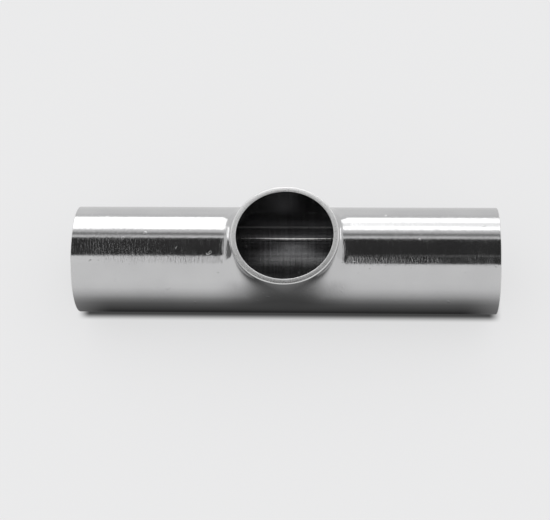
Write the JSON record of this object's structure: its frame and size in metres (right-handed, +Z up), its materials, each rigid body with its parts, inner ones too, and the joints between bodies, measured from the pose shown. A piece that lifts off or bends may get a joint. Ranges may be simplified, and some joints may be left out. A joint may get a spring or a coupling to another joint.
{
  "type": "tee fitting",
  "caption": "Polished stainless steel tube tee: a long straight run with a short pulled outlet of the same diameter in its middle.",
  "frame": {"origin": "where the run's axis and the outlet's axis cross", "axes": "+X along the straight run, +Z up the outlet's axis, out of its mouth"},
  "size_m": [0.15, 0.0382, 0.0395],
  "materials": {
    "polished_steel": "semi-mirror polish with fine marks round the tube",
    "weld_metal": "girth weld ground and polished flush with the tube",
    "seam_metal": "rolled and polished seam, flush with the tube"
  },
  "bodies": {
    "root": {"tee_body": "polished_steel", "left_leg": "polished_steel", "right_leg": "polished_steel", "left_girth_weld": "weld_metal", "right_girth_weld": "weld_metal", "body_seam_weld": "seam_metal", "left_seam_weld": "seam_metal", "right_seam_weld": "seam_metal"}
  },
  "joints": []
}
